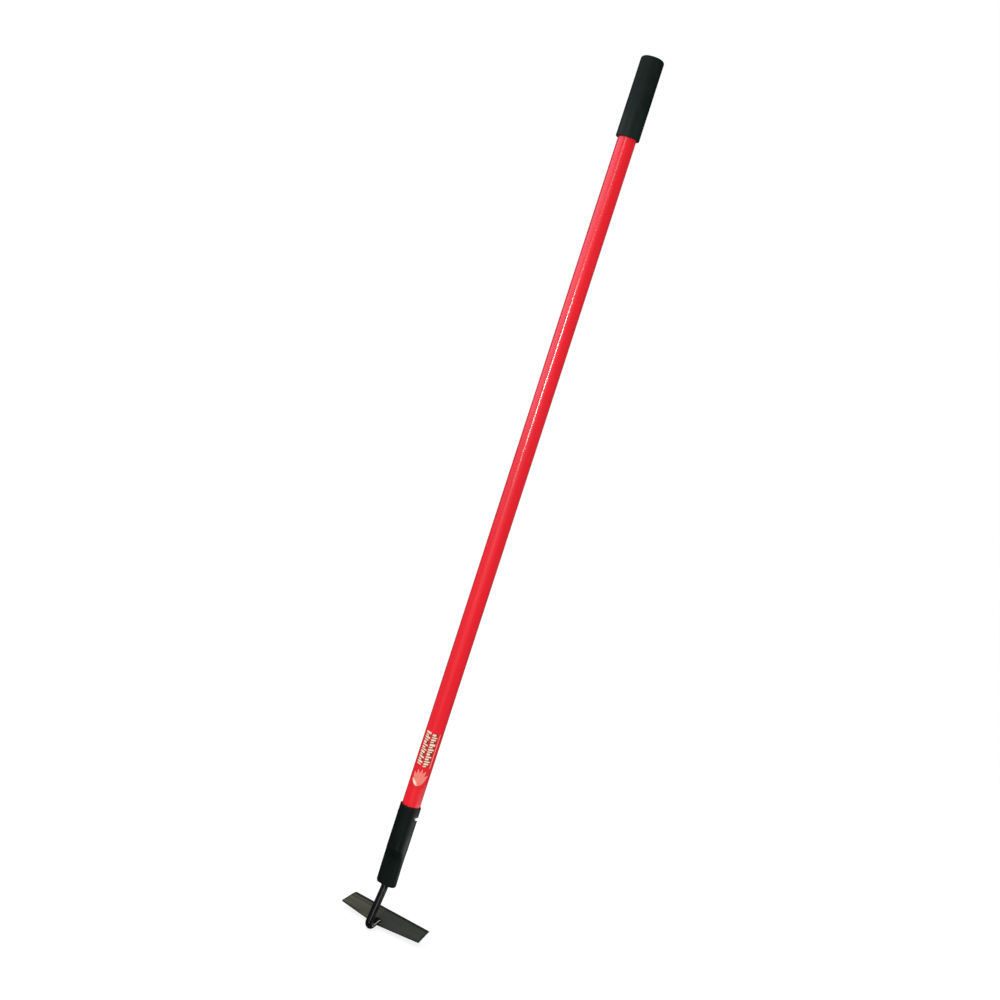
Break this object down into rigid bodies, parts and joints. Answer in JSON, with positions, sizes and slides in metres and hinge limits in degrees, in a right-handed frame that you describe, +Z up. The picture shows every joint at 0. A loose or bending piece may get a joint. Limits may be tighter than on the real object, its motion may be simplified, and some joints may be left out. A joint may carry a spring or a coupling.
{
  "type": "grub hoe",
  "caption": "Long-handled hoe with a narrow tilted steel blade on a gooseneck shank, a crimped steel ferrule and a hollow fibreglass handle with a moulded grip.",
  "frame": {"origin": "on the handle's axis, in the middle of the bare stretch between the ferrule's mouth and the grip", "axes": "+Z up the handle towards the grip, +Y from the shank towards the cutting edge, +X along the blade"},
  "size_m": [0.1694, 0.0734, 1.5375],
  "materials": {
    "painted_blade": "semi-gloss dark grey enamel with faint rolling marks",
    "black_paint": "gloss black enamel",
    "painted_weld": "gloss black enamel over rippled weld metal",
    "ferrule_paint": "satin black powder coat with fine orange peel",
    "rivet_steel": "bright zinc plate",
    "red_fibreglass": "gloss red pultruded fibreglass",
    "natural_fibreglass": "unpainted fibreglass",
    "plug_plastic": "moulded black plastic",
    "grip_rubber": "soft black moulded rubber, fine matte grain",
    "label_film": "clear film with plain cream and pink shapes"
  },
  "bodies": {
    "root": {"hoe_blade": "painted_blade", "gooseneck_shank": "black_paint", "blade_weld_left": "painted_weld", "blade_weld_right": "painted_weld", "ferrule": "ferrule_paint", "ferrule_weld": "painted_weld", "ferrule_rivet": "rivet_steel", "handle_tube": "red_fibreglass", "reinforcement_tube": "natural_fibreglass", "core_tube": "natural_fibreglass", "core_plug": "plug_plastic", "grip": "grip_rubber", "end_plug": "plug_plastic", "label": "label_film"}
  },
  "joints": []
}
